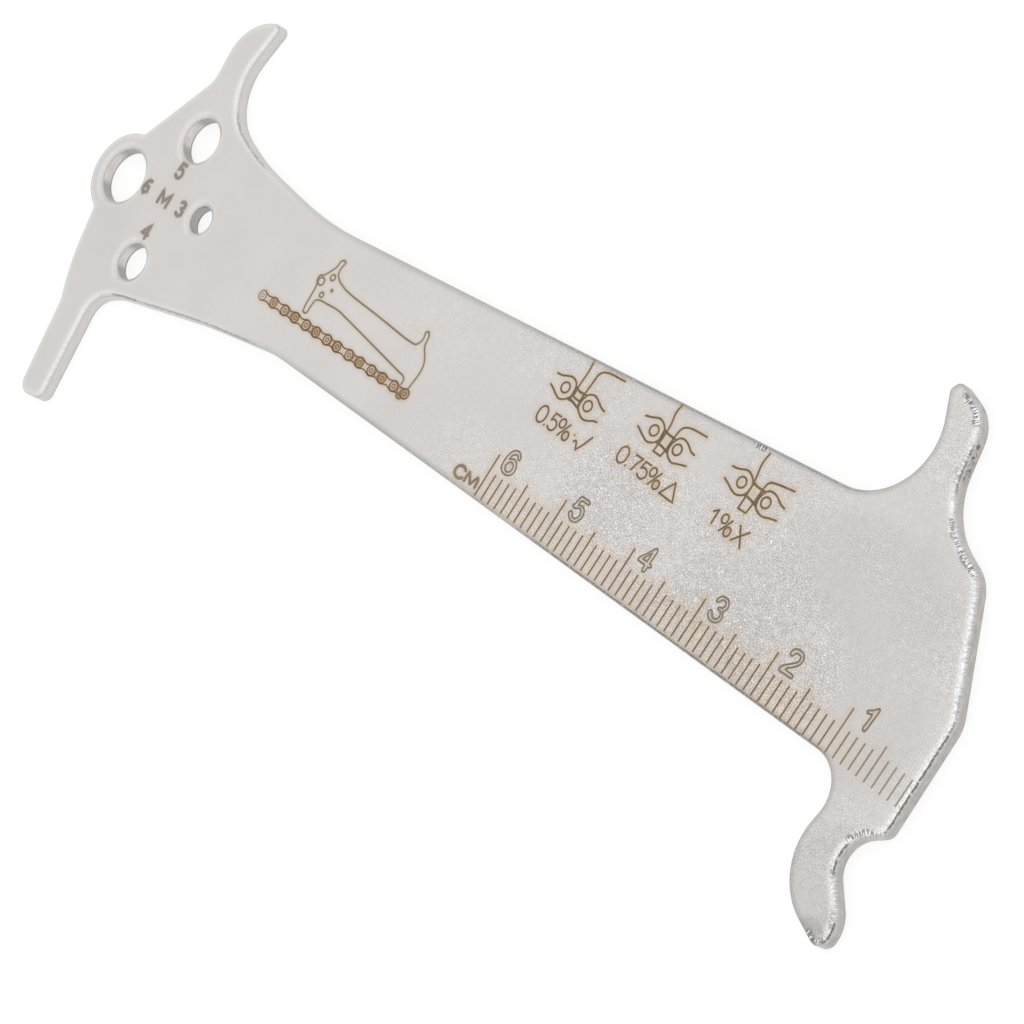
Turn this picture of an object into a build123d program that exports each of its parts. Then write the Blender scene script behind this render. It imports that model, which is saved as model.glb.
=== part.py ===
from build123d import *
from math import radians, tan
import os

# Chain wear gauge: one flat plate punched from sheet steel, with a ruler edge, a hook, a probe arm,
# two chain holding horns and four round holes that gauge bolts. All sizes are in millimetres.
# The outline is drawn from the zero corner, where the ruler edge would meet the end face. The ruler
# edge runs along -X from it, heights are counted up from the ruler edge and drops down from it.

# Sheet, with the rounding that the punch leaves round the marked face and the deburred back
sheet_thickness = 1.5
rim_roll = 0.3
hole_roll = 0.2
back_break = 0.1

# Far end of the straight ruler edge, and the belly that falls away from it towards the probe arm.
# Both are run from the arm's inner tip corner
ruler_end_run = 25.6
ruler_bend_radius = 20.0
belly_run = 14.3
belly_drop = 1.9
belly_radius = 80.0

# Hook below the zero corner, with a notch for a chain roller in its outer side
neck_width = 6.4
hook_root_radius = 3.8
hook_width = 8.3
hook_sweep_drop = 10.8
hook_sweep_radius = 7.0
hook_overhang = 0.8
hook_drop = 14.5
hook_tip_height = 3.4
hook_tip_radius = 1.2
hook_heel_radius = 3.7
notch_depth = 4.4
notch_drop = 5.6
notch_radius = 3.0

# End face at the ruler's zero, and the sloping shoulder above it
end_foot_drop = 2.6
end_foot_radius = 1.2
end_height = 8.7
end_radius = 4.7
shoulder_setback = 6.1
shoulder_height = 20.5
shoulder_radius = 4.4

# Horn above the zero end, bent towards the other head
near_horn_foot_setback = 12.7
near_horn_foot_height = 23.1
near_horn_foot_radius = 8.2
near_horn_crown_setback = 14.5
near_horn_crown_height = 32.5
near_horn_crown_radius = 4.1
near_horn_tip_setback = 19.0
near_horn_height = 34.0
near_horn_tip_thickness = 1.1
near_horn_tip_slant = 0.6
near_horn_tip_radius = 0.7

# Back of the bar, from the near horn's root down to its lowest point, which is run from the arm too
near_root_setback = 13.9
near_root_height = 21.6
near_root_radius = 6.7
back_low_run = 21.5
back_low_height = 14.0
back_low_radius = 48.0

# Probe arm. Its inner tip corner is the datum of the whole far head
arm_distance = 118.5
arm_drop = 18.6
arm_tip_width = 3.8
arm_tip_slant = 0.7
arm_inner_radius = 1.1
arm_outer_radius = 1.5
arm_root_lean = 1.4
arm_root_drop = 6.5
arm_root_radius = 2.8
throat_run = 1.5
throat_drop = 4.9
throat_radius = 5.3
arm_shoulder_width = 5.5
arm_shoulder_drop = 8.7
arm_shoulder_radius = 1.2

# Far head, measured from the probe arm's inner tip corner
flank_setback = 7.2
flank_drop = 5.4
flank_radius = 25.0
waist_setback = 2.9
waist_height = 19.8
waist_radius = 3.1
far_horn_back_setback = 3.5
far_horn_back_height = 27.1
far_horn_back_radius = 5.0
far_horn_tip_run = 1.8
far_horn_height = 28.8
far_horn_tip_radius = 0.8
far_root_run = 0.1
far_root_height = 18.6
far_root_radius = 6.8
back_bend_run = 9.1
back_bend_height = 15.5
back_bend_radius = 31.0

# Bolt holes: nominal thread size, run from the probe arm's tip corner and height above the ruler edge
hole_3_diameter = 3.0
hole_3_run = 6.5
hole_3_height = 6.9
hole_4_diameter = 4.0
hole_4_run = 0.9
hole_4_height = -0.9
hole_5_diameter = 5.0
hole_5_run = 0.3
hole_5_height = 13.8
hole_6_diameter = 6.0
hole_6_run = -7.1
hole_6_height = 6.1

# Round lobe that carries the largest hole past the head, and the point inside it where the flanks meet
lobe_wall = 1.85
lobe_blend = 0.8
flank_meet_setback = 2.8
flank_meet_rise = 0.9

# Part of a straight edge that the roundings at its two ends may take together
edge_share = 0.98

lobe_radius = hole_6_diameter / 2 + lobe_wall
holes = [
    (-arm_distance + hole_3_run, hole_3_height, hole_3_diameter),
    (-arm_distance + hole_4_run, hole_4_height, hole_4_diameter),
    (-arm_distance + hole_5_run, hole_5_height, hole_5_diameter),
    (-arm_distance + hole_6_run, hole_6_height, hole_6_diameter),
]
lobe_centre = Vector(-arm_distance + hole_6_run, hole_6_height)

# Corners of each form as x, y and radius, in one loop that starts at the far end of the ruler edge
ruler_corners = [
    (-arm_distance + ruler_end_run, 0, ruler_bend_radius),
    (-neck_width, 0, hook_root_radius),
]
hook_corners = [
    (-hook_width, -hook_sweep_drop, hook_sweep_radius),
    (hook_overhang, -hook_drop, hook_tip_radius),
    (hook_overhang, hook_tip_height - hook_drop, hook_heel_radius),
    (-notch_depth, -notch_drop, notch_radius),
]
end_corners = [
    (0, -end_foot_drop, end_foot_radius),
    (0, end_height, end_radius),
    (-shoulder_setback, shoulder_height, shoulder_radius),
]
near_horn_corners = [
    (-near_horn_foot_setback, near_horn_foot_height, near_horn_foot_radius),
    (-near_horn_crown_setback, near_horn_crown_height, near_horn_crown_radius),
    (-near_horn_tip_setback, near_horn_height, near_horn_tip_radius),
    (
        -near_horn_tip_setback - near_horn_tip_slant,
        near_horn_height - near_horn_tip_thickness,
        near_horn_tip_radius,
    ),
]
back_corners = [
    (-near_root_setback, near_root_height, near_root_radius),
    (-arm_distance + back_low_run, back_low_height, back_low_radius),
    (-arm_distance + back_bend_run, back_bend_height, back_bend_radius),
]
far_horn_corners = [
    (-arm_distance + far_root_run, far_root_height, far_root_radius),
    (-arm_distance + far_horn_tip_run, far_horn_height, far_horn_tip_radius),
    (-arm_distance - far_horn_back_setback, far_horn_back_height, far_horn_back_radius),
    (-arm_distance - waist_setback, waist_height, waist_radius),
]
flank_corners = [
    (lobe_centre.X - flank_meet_setback, lobe_centre.Y + flank_meet_rise, 0),
    (-arm_distance - flank_setback, -flank_drop, flank_radius),
]
arm_corners = [
    (-arm_distance - arm_shoulder_width, -arm_shoulder_drop, arm_shoulder_radius),
    (-arm_distance - arm_tip_width, -arm_drop - arm_tip_slant, arm_outer_radius),
    (-arm_distance, -arm_drop, arm_inner_radius),
    (-arm_distance - arm_root_lean, -arm_root_drop, arm_root_radius),
]
belly_corners = [
    (-arm_distance + throat_run, -throat_drop, throat_radius),
    (-arm_distance + belly_run, -belly_drop, belly_radius),
]


def rounded_loop(corners):
    """Closed line through the corners, each rounded by its radius as far as its two edges leave room."""
    count = len(corners)
    points = [Vector(x, y) for x, y, radius in corners]
    radii = [radius for x, y, radius in corners]
    runs = [points[(i + 1) % count] - points[i] for i in range(count)]
    turns = [radians(runs[i - 1].get_angle(runs[i])) for i in range(count)]
    tangents = [radius * tan(turn / 2) for radius, turn in zip(radii, turns)]
    rooms = [edge_share * run.length for run in runs]
    crowding = [(tangents[i] + tangents[(i + 1) % count]) / rooms[i] for i in range(count)]
    fitted = [radii[i] / max(1, crowding[i - 1], crowding[i]) for i in range(count)]
    FilletPolyline(*points, radius=fitted, close=True)


# Outline of the plate, with the lobe round the largest hole blended into both flanks
with BuildSketch() as outline:
    with BuildLine():
        rounded_loop(
            ruler_corners
            + hook_corners
            + end_corners
            + near_horn_corners
            + back_corners
            + far_horn_corners
            + flank_corners
            + arm_corners
            + belly_corners
        )
    make_face()
    with Locations(lobe_centre):
        Circle(lobe_radius)
    on_lobe = [v for v in outline.vertices() if abs((v.center() - lobe_centre).length - lobe_radius) < 1e-4]
    fillet(on_lobe, lobe_blend)

# The plate lies with its back on the XY plane, the marked face up and the middle of its outline at the origin
middle = outline.sketch.bounding_box().center()

with BuildPart() as gauge_plate:
    with BuildSketch(Plane((-middle.X, -middle.Y, 0))):
        add(outline.sketch)
        for x, y, diameter in holes:
            with Locations((x, y)):
                Circle(diameter / 2, mode=Mode.SUBTRACT)
    extrude(amount=sheet_thickness)
    marked_face = gauge_plate.faces().sort_by(Axis.Z)[-1]
    fillet(marked_face.outer_wire().edges(), rim_roll)
    marked_face = gauge_plate.faces().sort_by(Axis.Z)[-1]
    fillet([wire.edges() for wire in marked_face.inner_wires()], hole_roll)
    back_face = gauge_plate.faces().sort_by(Axis.Z)[0]
    fillet(back_face.edges(), back_break)

gauge_plate.part.label = "gauge_plate"
os.makedirs("parts", exist_ok=True)
export_step(gauge_plate.part, "parts/gauge_plate.step")
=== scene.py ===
from functools import reduce
from math import ceil, cos, exp, pi, radians, sin

import bpy
import numpy as np
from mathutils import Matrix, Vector
from mathutils.geometry import delaunay_2d_cdt
from mathutils.kdtree import KDTree


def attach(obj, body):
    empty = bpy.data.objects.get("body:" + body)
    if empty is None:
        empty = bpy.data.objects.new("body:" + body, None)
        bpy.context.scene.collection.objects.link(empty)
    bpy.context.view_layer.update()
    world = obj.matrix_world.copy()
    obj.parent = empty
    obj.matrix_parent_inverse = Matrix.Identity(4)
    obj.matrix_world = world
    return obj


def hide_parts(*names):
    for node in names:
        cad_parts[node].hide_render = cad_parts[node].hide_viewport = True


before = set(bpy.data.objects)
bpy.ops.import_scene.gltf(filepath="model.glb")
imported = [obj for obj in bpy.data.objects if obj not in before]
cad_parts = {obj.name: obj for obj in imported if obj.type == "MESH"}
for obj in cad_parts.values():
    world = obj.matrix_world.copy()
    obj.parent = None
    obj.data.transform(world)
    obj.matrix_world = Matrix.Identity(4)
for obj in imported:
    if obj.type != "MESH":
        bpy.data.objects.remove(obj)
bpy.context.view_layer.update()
cad_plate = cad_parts["gauge_plate"]

# Plate, in millimetres
MM = 0.001
SHEET = 1.5
BREAK = 0.1
RIM_ROLL = 0.3
HOLE_ROLL = 0.2

# The punch draws the rim in over a wider band where the rim faces the zero end, and over a band no
# wider than a share of the outline's own radius
WIDE_ROLL = 0.85
HOLE_BAND = 0.3
ROLL_SHARE = 0.72
ZERO_FACING = (0.12, 0.6)
LEAST_TURN = 1e-3
NEIGHBOURS = range(-3, 4)

# Rows of points: up the wall, whose small break on the back bends once, round the roll, and along the
# rim on the marked face. Past them the face has a coarse grid
RING_STEP = 0.25
BREAK_BEND = 0.3
BREAK_RISE = 0.07
WALL_ROWS = (BREAK, 0.35, 0.65, 0.95)
ROLL_TURNS = (0.05, 0.14, 0.25, 0.37, 0.5, 0.63, 0.76, 0.88, 1.0)
INSET_ROWS = (0.6, 0.85, 1.15, 1.5)
RIM_SPARE = 0.08
DEEPEST = 1.7
COARSE_STEP = 2.0
ZIGZAG = 0.002

# Two heights count as one within this, and a wall as upright while its normal rises less than that
SAME = 0.002
UPRIGHT = 0.02

# Painted shade on the walls of holes, most where a wall faces along y: the least, and how much in holes
# with a short run
LEAST_BORE = 0.3
BORE_FACING = (0.3, 0.8)
SMALL_BORE = 0.85
SMALL_BORE_RUN = 10.0

# Places on the plate: middle, reach along x and y, and how much. The rim is torn into dark teeth at its
# burrs, with painted glints between them, and has painted shade along the crease where it rolls over at
# its edges; the wall is scarred; the rim takes more painted highlight; the face has painted shade in
# places
PLACE_FADE = (0.6, 1.4)
PLACES = {
    "burr": [
        (48.9, 25.4, 2.0, 1.7, 1.0), (51.2, 20.4, 1.2, 2.2, 0.4), (54.4, 15.2, 2.0, 1.4, 0.75),
        (57.0, 13.7, 1.8, 1.3, 1.0), (62.4, -11.2, 2.6, 1.1, 0.85), (62.6, -14.9, 0.8, 0.9, 0.6),
        (65.0, -18.2, 0.9, 1.3, 0.5), (64.3, -20.9, 1.1, 0.9, 1.0), (64.6, 6.5, 1.0, 1.5, 0.3),
        (31.0, 12.3, 0.9, 0.7, 0.9),
    ],
    "edge": [
        (65.0, -4.4, 1.6, 6.0, 1.0), (65.0, 5.5, 1.6, 7.0, 0.45), (18.0, 11.9, 34.0, 2.8, 0.4),
        (61.9, -14.0, 1.1, 1.6, 1.0), (65.6, -19.6, 0.9, 1.3, 1.0), (51.2, 20.0, 1.0, 2.6, 0.75),
        (-8.0, -7.3, 16.0, 0.8, 0.15), (34.0, -7.3, 21.0, 0.8, 0.75), (-40.0, -9.4, 12.5, 2.4, 0.5),
        (-50.5, -11.9, 2.6, 0.9, 0.7), (-47.0, 9.3, 5.0, 2.4, 0.5),
    ],
    "scar": [(51.2, 21.0, 1.1, 1.9, 1.0), (58.0, 13.4, 0.8, 1.0, 0.5), (48.5, 25.8, 1.2, 1.0, 0.7)],
    "painted_highlight": [(62.6, -11.6, 3.4, 2.6, 1.0)],
    "grit": [(31.0, 0.5, 18.0, 6.0, 1.0), (45.0, -3.0, 8.0, 4.0, 1.0)],
    "painted_shade": [
        (49.0, 7.5, 10.0, 5.0, 0.075), (61.5, -17.5, 4.2, 6.0, 0.11), (63.6, -20.6, 1.6, 1.3, 0.3),
        (40.0, -2.0, 9.0, 6.0, 0.05), (56.0, -2.0, 7.0, 7.0, 0.05),
    ],
}

# Heat tint: the zones of the marked face that it takes, as two corners each, and its fineness there
TINT_ZONES = [
    ((0.6, -7.0), (64.0, -0.7)), ((5.0, 1.6), (37.8, 11.8)), ((-34.8, -4.3), (-8.6, 5.0)),
    ((-58.2, -6.2), (-49.2, 3.9)),
]
TINT_MARGIN = 0.4
TINT_STEP = 0.22
TINT_SAMPLE = 0.1
TINT_REACH = 2.5

# Marks: the zero line of the ruler and the turn of the whole print on the plate
PRINT_ZERO = (64.856, -6.913)
PRINT_TURN = radians(-1.34)
MARK_LIFT = 0.003
MARK_SINK = 0.006

# Shares of a line's width or lift: how far its ends reach on, how wide they are, how high its sides lie
END_REACH = 0.35
END_HALF = 0.22
SIDE_LIFT = 0.4
SHARPEST_MITER = 0.6


# Marks

# A stroke is a run of points in millimetres on the plate, in order. The ruler's numbers and the rings
# are closed outlines, the other strokes are open lines.

RULER_LENGTH = 60
TICK_FOOT = -0.5
TICK_BOW = 0.0004
TICK_BOW_MIDDLE = 10
TICK_POINTS = 12
TICK_HEADS = {1: 2.2, 5: 3.12, 10: 4.05}
TICK_LEAN = 0.0234
TICK_SHIFT = 0.05
ZERO_STRETCH = 0.155
ZERO_REACH = 12
FAINT_REACH = 14

DIGIT_OUTLINES = {
    "6": [
        [(7.45, -1.84), (7.5, -1.6), (7.35, -1.4), (7.1, -1.2), (6.85, -1.12), (6.5, -1.2), (6.2, -1.4),
         (6.0, -1.75), (5.88, -2.3), (5.87, -2.95), (6.0, -3.35), (6.35, -3.62), (6.8, -3.7),
         (7.3, -3.58), (7.6, -3.25), (7.68, -2.85), (7.55, -2.45), (7.2, -2.08), (6.85, -2.0),
         (6.5, -2.12), (6.32, -2.22), (6.33, -1.95), (6.5, -1.7), (6.8, -1.52), (7.05, -1.55),
         (7.2, -1.75)],
        [(6.8, -2.38), (7.12, -2.52), (7.27, -2.88), (7.12, -3.25), (6.8, -3.4), (6.48, -3.25),
         (6.33, -2.88), (6.48, -2.52)],
    ],
    "5": [
        [(17.6, -1.42), (17.65, -1.25), (17.45, -1.14), (17.0, -1.14), (16.4, -1.15), (16.28, -1.3),
         (16.2, -1.7), (16.1, -2.1), (15.98, -2.25), (16.1, -2.42), (16.35, -2.45), (16.6, -2.3),
         (16.85, -2.22), (17.1, -2.3), (17.3, -2.6), (17.3, -2.85), (17.15, -3.15), (16.85, -3.3),
         (16.55, -3.2), (16.4, -2.95), (16.25, -2.83), (16.05, -2.88), (16.0, -3.1), (16.15, -3.3),
         (16.5, -3.55), (16.9, -3.62), (17.3, -3.5), (17.6, -3.1), (17.7, -2.7), (17.6, -2.35),
         (17.35, -2.0), (17.0, -1.9), (16.7, -1.95), (16.55, -2.0), (16.55, -1.7), (16.6, -1.5),
         (16.75, -1.47), (17.3, -1.47)],
    ],
    "4": [
        [(27.2, -1.1), (27.05, -1.2), (26.85, -1.5), (26.5, -2.0), (26.1, -2.5), (25.95, -2.8),
         (26.05, -2.98), (26.4, -2.98), (26.93, -3.0), (27.0, -3.1), (27.0, -3.4), (27.1, -3.6),
         (27.3, -3.58), (27.4, -3.4), (27.4, -3.1), (27.45, -2.98), (27.65, -2.95), (27.75, -2.82),
         (27.65, -2.68), (27.45, -2.65), (27.4, -2.5), (27.42, -2.0), (27.45, -1.4), (27.4, -1.2)],
        [(27.0, -1.72), (27.0, -2.2), (26.98, -2.6), (26.7, -2.62), (26.42, -2.6), (26.7, -2.15)],
    ],
    "3": [
        [(36.1, -1.7), (36.25, -1.4), (36.5, -1.2), (36.9, -1.12), (37.3, -1.2), (37.5, -1.4),
         (37.65, -1.85), (37.5, -2.2), (37.35, -2.35), (37.5, -2.5), (37.65, -2.75), (37.7, -3.05),
         (37.55, -3.35), (37.25, -3.58), (36.9, -3.65), (36.5, -3.58), (36.15, -3.35), (36.0, -3.0),
         (36.1, -2.82), (36.3, -2.85), (36.5, -3.05), (36.7, -3.28), (36.95, -3.3), (37.2, -3.2),
         (37.35, -2.95), (37.3, -2.65), (37.1, -2.45), (36.75, -2.4), (36.7, -2.25), (36.85, -2.15),
         (37.1, -2.1), (37.28, -1.85), (37.2, -1.55), (36.95, -1.42), (36.65, -1.5), (36.5, -1.75),
         (36.3, -1.88), (36.15, -1.88)],
    ],
    "2": [
        [(46.35, -2.0), (46.15, -1.9), (46.15, -1.65), (46.3, -1.35), (46.6, -1.18), (47.0, -1.15),
         (47.4, -1.25), (47.7, -1.6), (47.75, -1.95), (47.6, -2.35), (47.3, -2.65), (47.0, -2.9),
         (46.7, -3.1), (46.6, -3.25), (46.8, -3.32), (47.4, -3.33), (47.7, -3.38), (47.75, -3.6),
         (47.6, -3.68), (46.8, -3.68), (46.1, -3.68), (45.98, -3.5), (46.1, -3.2), (46.5, -2.85),
         (47.0, -2.45), (47.3, -2.15), (47.4, -1.85), (47.3, -1.6), (47.0, -1.5), (46.75, -1.55),
         (46.55, -1.8), (46.5, -1.95)],
    ],
    "1": [
        [(57.3, -1.35), (57.15, -1.45), (56.85, -1.75), (56.5, -1.95), (56.35, -2.1), (56.45, -2.25),
         (56.7, -2.2), (56.95, -2.1), (57.0, -2.3), (56.95, -3.0), (56.9, -3.5), (57.0, -3.7),
         (57.2, -3.72), (57.3, -3.5), (57.35, -3.0), (57.4, -2.3), (57.45, -1.6), (57.4, -1.4)],
    ],
}

UNIT = [
    [(2.45, -5.62), (2.15, -5.42), (1.75, -5.38), (1.35, -5.6), (1.2, -6.0), (1.35, -6.4), (1.8, -6.6),
     (2.2, -6.55), (2.5, -6.35)],
    [(2.88, -6.5), (2.86, -5.95), (2.95, -5.48)],
    [(2.95, -5.48), (3.35, -5.95), (3.72, -6.42)],
    [(3.72, -6.42), (3.95, -5.95), (4.2, -5.48)],
    [(4.2, -5.48), (4.4, -5.7), (4.46, -6.45)],
]

# Chain joint icons: link plates, waist between them and the finger that reaches in from the back edge
ICON_RINGS = {
    "half": [(7.5, 6.46), (11.06, 6.16)],
    "three_quarter": [(19.46, 7.78), (23.0, 7.48)],
    "one": [(31.35, 8.33), (34.92, 8.0)],
}
ICON_LINES = {
    "half": [
        [(5.7, 7.2), (6.3, 7.25), (7.0, 7.5), (7.5, 7.65), (8.1, 7.55), (8.5, 7.2), (8.73, 6.5),
         (8.55, 5.9), (8.1, 5.45), (7.5, 5.22), (6.9, 5.4), (6.2, 5.75), (5.7, 5.95)],
        [(13.15, 6.62), (12.6, 6.75), (12.0, 7.05), (11.4, 7.33), (10.9, 7.33), (10.35, 7.0),
         (10.08, 6.2), (10.2, 5.5), (10.8, 5.05), (11.4, 4.87), (12.0, 5.0), (12.6, 5.3),
         (13.05, 5.38)],
        [(8.5, 7.15), (9.3, 6.87), (10.2, 6.95)],
        [(8.4, 5.65), (9.3, 5.68), (10.1, 5.45)],
        [(8.78, 10.15), (8.9, 9.0), (8.83, 7.5), (8.9, 6.15), (9.4, 6.1), (9.9, 6.1), (9.95, 7.1),
         (10.05, 8.0), (10.2, 9.3), (10.8, 9.78), (13.35, 10.08)],
    ],
    "three_quarter": [
        [(17.65, 8.5), (18.4, 8.7), (19.3, 9.0), (20.0, 8.8), (20.45, 8.4), (20.65, 7.7),
         (20.3, 6.95), (19.7, 6.6), (19.3, 6.55), (18.6, 6.8), (17.5, 7.3)],
        [(25.05, 7.95), (24.5, 8.05), (23.7, 8.5), (23.0, 8.65), (22.5, 8.45), (22.05, 7.5),
         (22.2, 6.75), (22.7, 6.35), (23.2, 6.2), (23.9, 6.4), (24.9, 6.68)],
        [(20.5, 8.4), (21.3, 8.22), (22.2, 8.2)],
        [(20.4, 6.95), (21.3, 6.95), (22.1, 6.7)],
        [(20.7, 11.2), (20.55, 10.3), (20.8, 9.0), (20.75, 7.0), (20.65, 6.15), (21.2, 6.12),
         (21.7, 6.12), (21.85, 7.0), (21.95, 8.5), (22.2, 9.4), (22.9, 9.8), (25.2, 10.0)],
    ],
    "one": [
        [(29.45, 9.1), (30.2, 9.2), (31.3, 9.55), (32.0, 9.3), (32.5, 8.8), (32.55, 8.0), (32.2, 7.4),
         (31.5, 7.1), (30.9, 7.2), (30.2, 7.5), (29.4, 7.8)],
        [(37.05, 8.48), (36.4, 8.65), (35.6, 9.05), (35.0, 9.15), (34.4, 8.95), (34.0, 8.0),
         (34.2, 7.2), (34.8, 6.85), (35.4, 6.78), (36.2, 7.0), (37.0, 7.18)],
        [(32.6, 8.95), (33.3, 8.78), (34.2, 8.8)],
        [(32.3, 7.45), (32.9, 7.5), (33.6, 7.35), (34.2, 7.2)],
        [(32.35, 11.95), (32.2, 10.8), (32.5, 9.2), (32.6, 7.5), (32.55, 6.2), (33.05, 6.18),
         (33.6, 6.2), (33.75, 7.3), (33.85, 9.1), (34.1, 9.7), (34.8, 9.95), (37.0, 10.3)],
    ],
}
ICON_RING = 0.53
WAISTS = {
    "half": [(8.6, 7.1), (9.3, 6.87), (9.9, 6.95), (10.0, 5.5), (9.3, 5.68), (8.7, 5.8)],
    "three_quarter": [(20.5, 8.3), (21.3, 8.22), (21.9, 8.2), (22.0, 6.75), (21.3, 6.95), (20.6, 7.0)],
    "one": [(32.6, 8.85), (33.3, 8.78), (33.9, 8.8), (34.0, 7.3), (33.3, 7.45), (32.5, 7.55)],
}

# Wear limits under the icons. A digit is drawn in a box one unit wide and high, on its own base line
PLAIN_DIGITS = {
    "0": [[(0.5, 1.0), (0.19, 0.9), (0.02, 0.68), (0.02, 0.32), (0.19, 0.1), (0.5, 0.0), (0.81, 0.1),
           (0.98, 0.32), (0.98, 0.68), (0.81, 0.9)]],
    "5": [[(0.95, 1.0), (0.2, 1.0), (0.08, 0.55), (0.45, 0.66), (0.85, 0.55), (1.0, 0.32), (0.8, 0.06),
           (0.4, 0.0), (0.0, 0.14)]],
    "7": [[(0.0, 1.0), (1.0, 1.0), (0.62, 0.55), (0.35, 0.0)]],
    "1": [[(0.0, 0.75), (0.6, 1.0), (0.6, 0.0)]],
    "3": [[(0.05, 0.9), (0.45, 1.0), (0.85, 0.9), (0.9, 0.7), (0.5, 0.55), (0.95, 0.4), (0.95, 0.15),
           (0.5, 0.0), (0.0, 0.12)]],
    "4": [[(0.75, 0.0), (0.75, 1.0), (0.0, 0.3), (1.0, 0.3)]],
    "6": [[(0.9, 0.95), (0.45, 0.95), (0.08, 0.6), (0.05, 0.25), (0.45, 0.0), (0.95, 0.2), (0.85, 0.5),
           (0.45, 0.58), (0.08, 0.35)]],
    "M": [[(0.0, 0.0), (0.0, 1.0), (0.5, 0.25), (1.0, 1.0), (1.0, 0.0)]],
}
LOOPED = {"0"}

# Character, left, foot, width and height of each plain digit
WEAR_TEXT = {
    "half": [("0", 6.24, 2.26, 1.14, 1.72), ("5", 8.05, 2.24, 1.02, 1.68)],
    "three_quarter": [
        ("0", 17.27, 3.42, 1.16, 1.7), ("7", 19.22, 3.5, 0.98, 1.48), ("5", 20.42, 3.32, 1.08, 1.62),
    ],
    "one": [("1", 30.38, 3.62, 0.85, 1.45)],
}
WEAR_STROKES = {
    "half": [
        [(7.62, 2.36), (7.7, 2.36)],
        [(10.55, 3.8), (10.15, 3.05), (9.72, 2.26)],
        [(11.85, 2.62), (12.05, 2.86), (12.2, 2.76), (12.6, 2.1), (13.1, 2.9), (13.62, 3.98)],
        [(11.58, 3.2), (11.62, 3.2)],
    ],
    "three_quarter": [
        [(18.72, 3.58), (18.8, 3.58)],
        [(23.0, 4.88), (22.6, 4.15), (22.12, 3.28)],
        [(24.95, 4.88), (25.36, 4.05), (25.82, 3.18), (24.85, 3.2), (23.88, 3.24), (24.4, 4.05),
         (24.95, 4.88)],
    ],
    "one": [
        [(32.88, 4.95), (32.5, 4.25), (32.08, 3.5)],
        [(33.88, 5.02), (34.5, 4.15), (35.12, 3.24)],
        [(35.24, 4.96), (34.5, 4.2), (33.74, 3.38)],
    ],
}
PERCENT_RINGS = {
    "half": [(9.6, 3.48), (10.65, 2.62)],
    "three_quarter": [(22.03, 4.52), (23.05, 3.67)],
    "one": [(32.0, 4.72), (32.95, 3.82)],
}
PERCENT_RING = (0.38, 0.45)

# Bolt sizes beside the holes
BOLT_TEXT = [
    ("5", -53.97, 1.72, 0.9, 1.6),
    ("6", -57.22, -1.62, 0.9, 1.55),
    ("M", -54.2, -1.58, 1.5, 1.45),
    ("3", -50.92, -1.57, 0.9, 1.6),
    ("4", -53.7, -5.55, 1.0, 1.55),
]

# Small drawing of the gauge laid on a chain
GAUGE_DRAWING = [
    (-27.1, -2.18), (-27.45, -2.1), (-27.6, -1.4), (-27.62, -0.5), (-27.75, 0.9), (-28.05, 1.4),
    (-28.0, 1.9), (-27.6, 2.1), (-27.0, 2.9), (-26.65, 3.5), (-26.5, 4.3), (-26.15, 4.5), (-25.85, 4.4),
    (-26.0, 3.8), (-25.95, 3.1), (-25.4, 2.6), (-24.2, 2.2), (-22.9, 2.03), (-18.0, 1.82),
    (-12.5, 1.57), (-11.8, 1.7), (-11.4, 2.4), (-11.55, 3.2), (-11.3, 3.42), (-10.95, 3.1),
    (-10.7, 2.0), (-10.1, 1.3), (-9.6, 0.6), (-9.4, -0.3), (-9.6, -2.3),
]
GAUGE_BELLY = [
    (-27.1, -2.18), (-26.9, -2.0), (-26.85, -1.2), (-26.75, -0.5), (-26.3, -0.24), (-25.0, -0.1),
    (-23.3, 0.0), (-22.0, -0.15), (-16.0, -0.95), (-12.0, -1.5), (-11.1, -1.62), (-10.78, -1.85),
    (-10.7, -2.4),
]
GAUGE_HOOK = [(-10.9, -3.1), (-10.45, -3.35), (-10.15, -3.65), (-9.9, -3.72), (-9.75, -3.45)]
GAUGE_HOLES = [(-27.45, 1.45, 0.42), (-26.32, 2.42, 0.32), (-26.42, 0.33, 0.27), (-25.5, 1.27, 0.12)]
CHAIN_ROLLERS = [
    -33.5, -31.6, -29.7, -27.9, -26.05, -24.3, -22.45, -20.8, -18.8, -17.0, -15.1, -13.3, -11.45, -9.6,
]
CHAIN_FOOT = (-3.15, -2.97)
CHAIN_ROLLER = 0.52
CHAIN_WAIST = 0.32
CHAIN_PIN = 0.4
CHAIN_PLATE_GAP = 0.04
CHAIN_LINK_REACH = 0.45
CHAIN_LINK_SIDES = (-0.22, 0.22)
HOOKED_LINK = (-10.2, -3.52)


def centripetal(run, pieces):
    """Smooth line through a run of points."""
    points = np.array(run, float)
    if len(points) < 3:
        steps = np.linspace(0, 1, pieces + 1)[:, None]
        return points[0] + (points[-1] - points[0]) * steps
    points = np.vstack([2 * points[0] - points[1], points, 2 * points[-1] - points[-2]])
    out = []
    for knots in zip(points, points[1:], points[2:], points[3:]):
        times = [0.0]
        for a, b in zip(knots, knots[1:]):
            times.append(times[-1] + np.linalg.norm(b - a) ** 0.5)
        for k in range(pieces):
            t = times[1] + (times[2] - times[1]) * k / pieces
            level = knots
            for first, span in ((0, 1), (0, 2), (1, 1)):
                level = [
                    ((times[i + span] - t) * a + (t - times[i]) * b) / (times[i + span] - times[i])
                    for i, (a, b) in enumerate(zip(level, level[1:]), first)
                ]
            out.append(level[0])
    out.append(points[-2])
    return np.array(out)


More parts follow.
